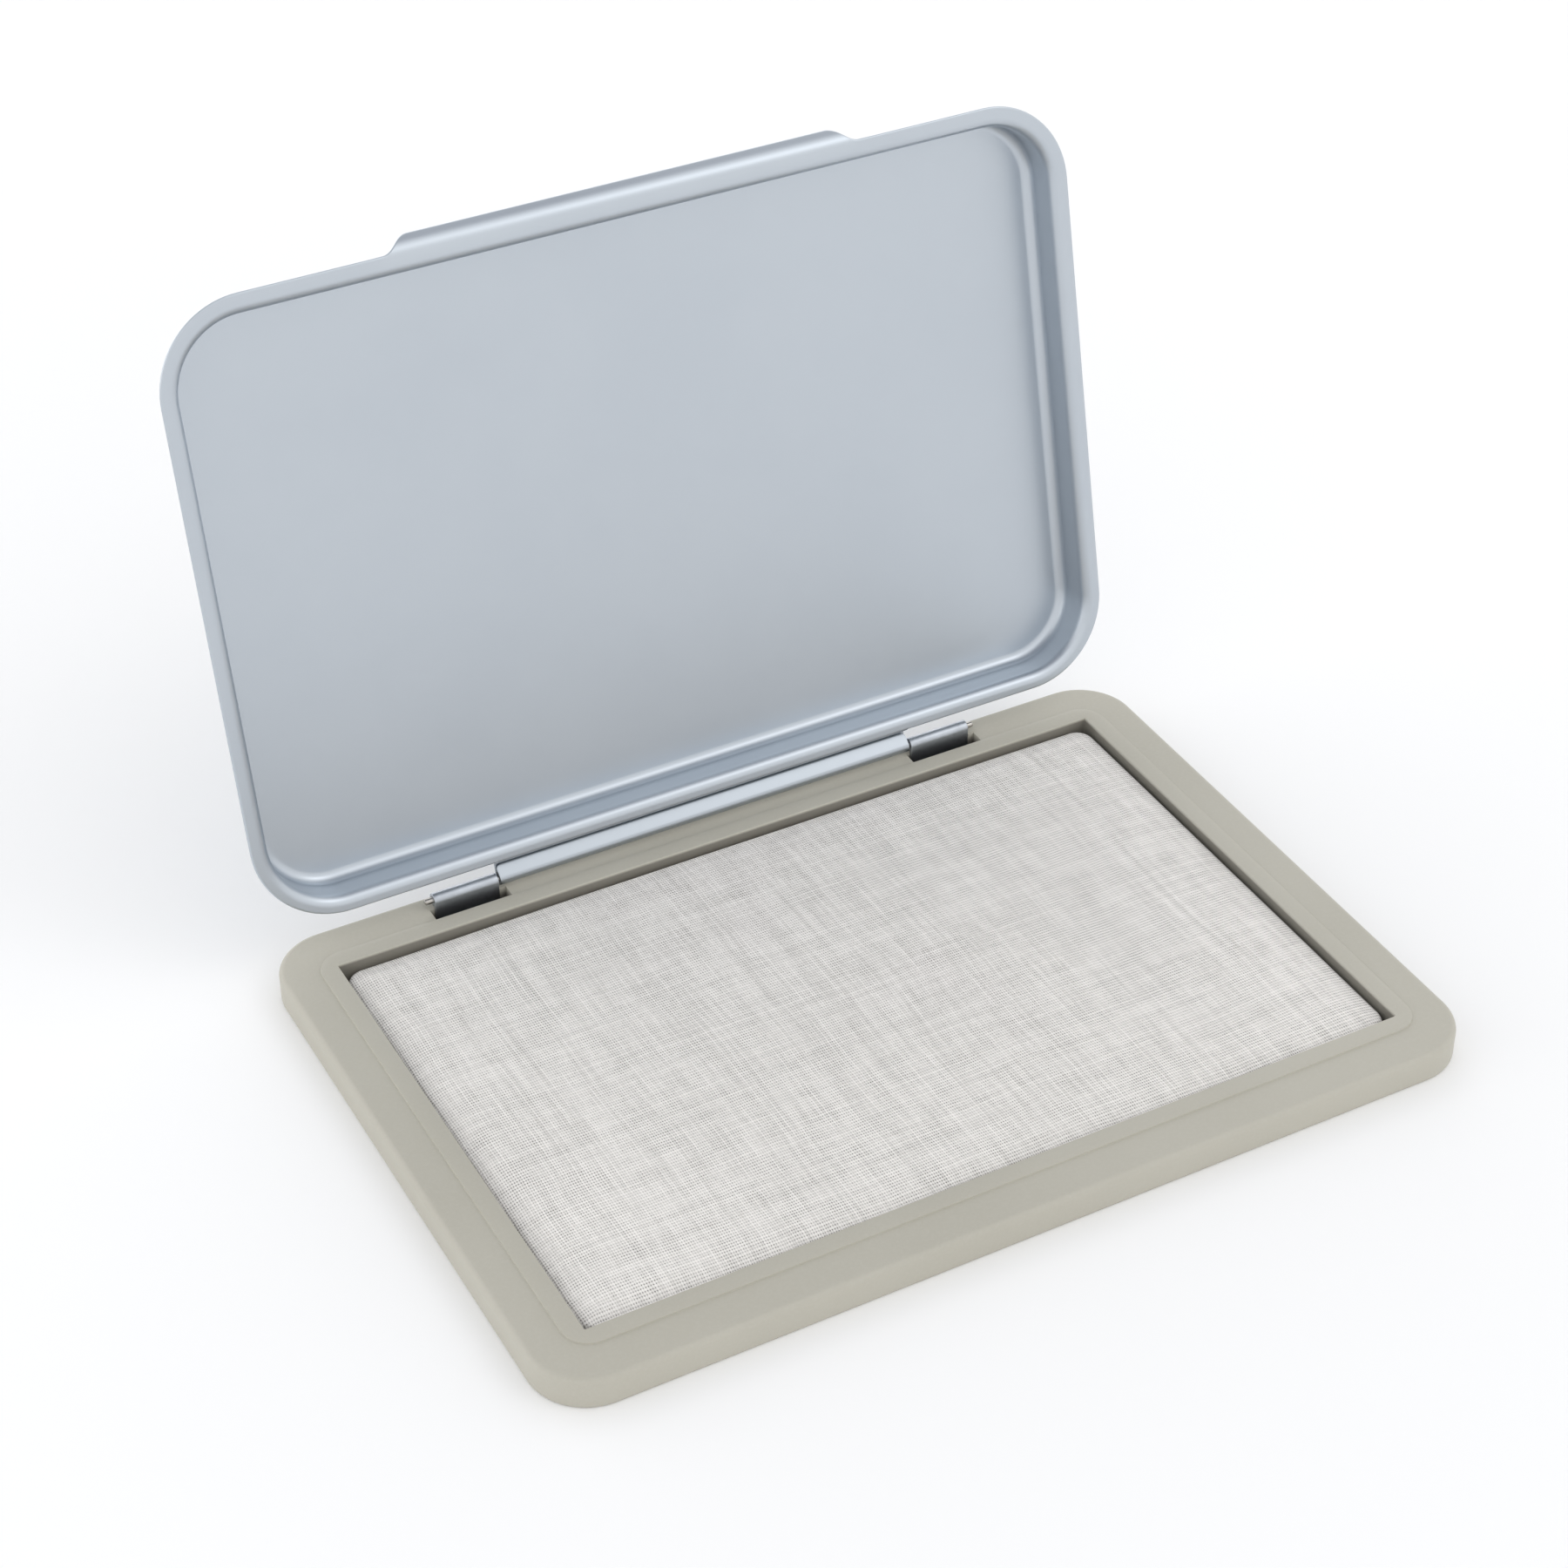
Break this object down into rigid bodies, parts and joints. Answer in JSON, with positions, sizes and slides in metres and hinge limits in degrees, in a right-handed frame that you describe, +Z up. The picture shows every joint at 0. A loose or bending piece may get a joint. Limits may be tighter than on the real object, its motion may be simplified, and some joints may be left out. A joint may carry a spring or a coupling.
{
  "type": "stamp pad",
  "caption": "Flat dry stamp pad: a linen-covered pad set in a plastic tray, with a shallow sheet metal lid hinged on a wire and standing open.",
  "frame": {"origin": "middle of the tray's flat underside", "axes": "+X along the hinge line, left to right seen from the front; +Y from the thumb lip's side of the closed lid towards the hinge; +Z up"},
  "size_m": [0.1246, 0.1069, 0.088],
  "materials": {
    "tray_plastic": "fine matt, warm light grey",
    "clip_steel": "bare rolled strip, satin",
    "wire_steel": "bare drawn wire",
    "board": "plain greyboard",
    "felt": "pressed felt, dry",
    "linen": "plain-weave linen, dry and clean",
    "lid_paint": "satin light blue-grey"
  },
  "bodies": {
    "base": {"tray": "tray_plastic", "clip_left": "clip_steel", "clip_right": "clip_steel", "hinge_wire": "wire_steel", "pad_board": "board", "pad_felt": "felt", "pad_cover": "linen"},
    "lid": {"lid_pan": "lid_paint"}
  },
  "joints": [
    {"name": "lid_hinge", "type": "hinge", "parent": "base", "child": "lid", "pos_m": [-0.0005, 0.0403, 0.00555], "axis": [1, 0, 0], "range_deg": [0, 103.5]}
  ]
}
